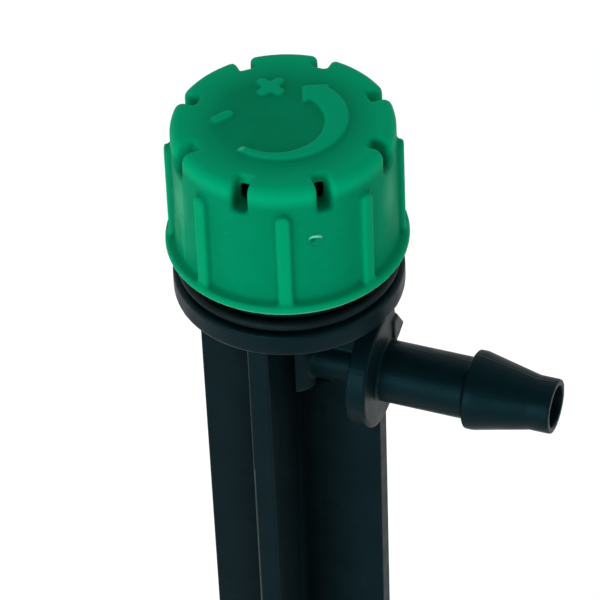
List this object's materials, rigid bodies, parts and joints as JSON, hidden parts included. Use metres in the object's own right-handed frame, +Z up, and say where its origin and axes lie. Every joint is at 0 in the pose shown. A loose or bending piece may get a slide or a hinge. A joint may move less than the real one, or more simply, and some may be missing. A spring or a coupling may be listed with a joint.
{
  "type": "drip emitter",
  "caption": "Adjustable screw-cap drip emitter with radial outlet slots and a side barb inlet, on a cross-section ground stake.",
  "frame": {"origin": "the stake's tip, on the cap's screw axis", "axes": "+Z up the stake and along the cap's screw axis, +X along the inlet barb, away from the stake"},
  "size_m": [0.0297, 0.018, 0.1305],
  "materials": {
    "black_plastic": "satin black moulded polypropylene",
    "black_rubber": "soft black rubber",
    "green_plastic": "fine-grained green moulded polypropylene"
  },
  "bodies": {
    "body": {"stake": "black_plastic", "emitter_head": "black_plastic", "inlet_barb": "black_plastic"},
    "ring": {"seal_ring": "black_rubber"},
    "cap": {"control_cap": "green_plastic"}
  },
  "joints": [
    {"name": "cap_turn", "type": "hinge", "parent": "body", "child": "ring", "pos_m": [0, 0, 0.1174], "axis": [0, 0, 1], "range_deg": [-180, 360]},
    {"name": "cap_rise", "type": "slide", "parent": "ring", "child": "cap", "axis": [0, 0, 1], "range_m": [-0.001, 0.002]}
  ],
  "couplings": [
    {"joint": "cap_rise", "follows": "cap_turn", "m_per_rad": 0.00031831}
  ]
}
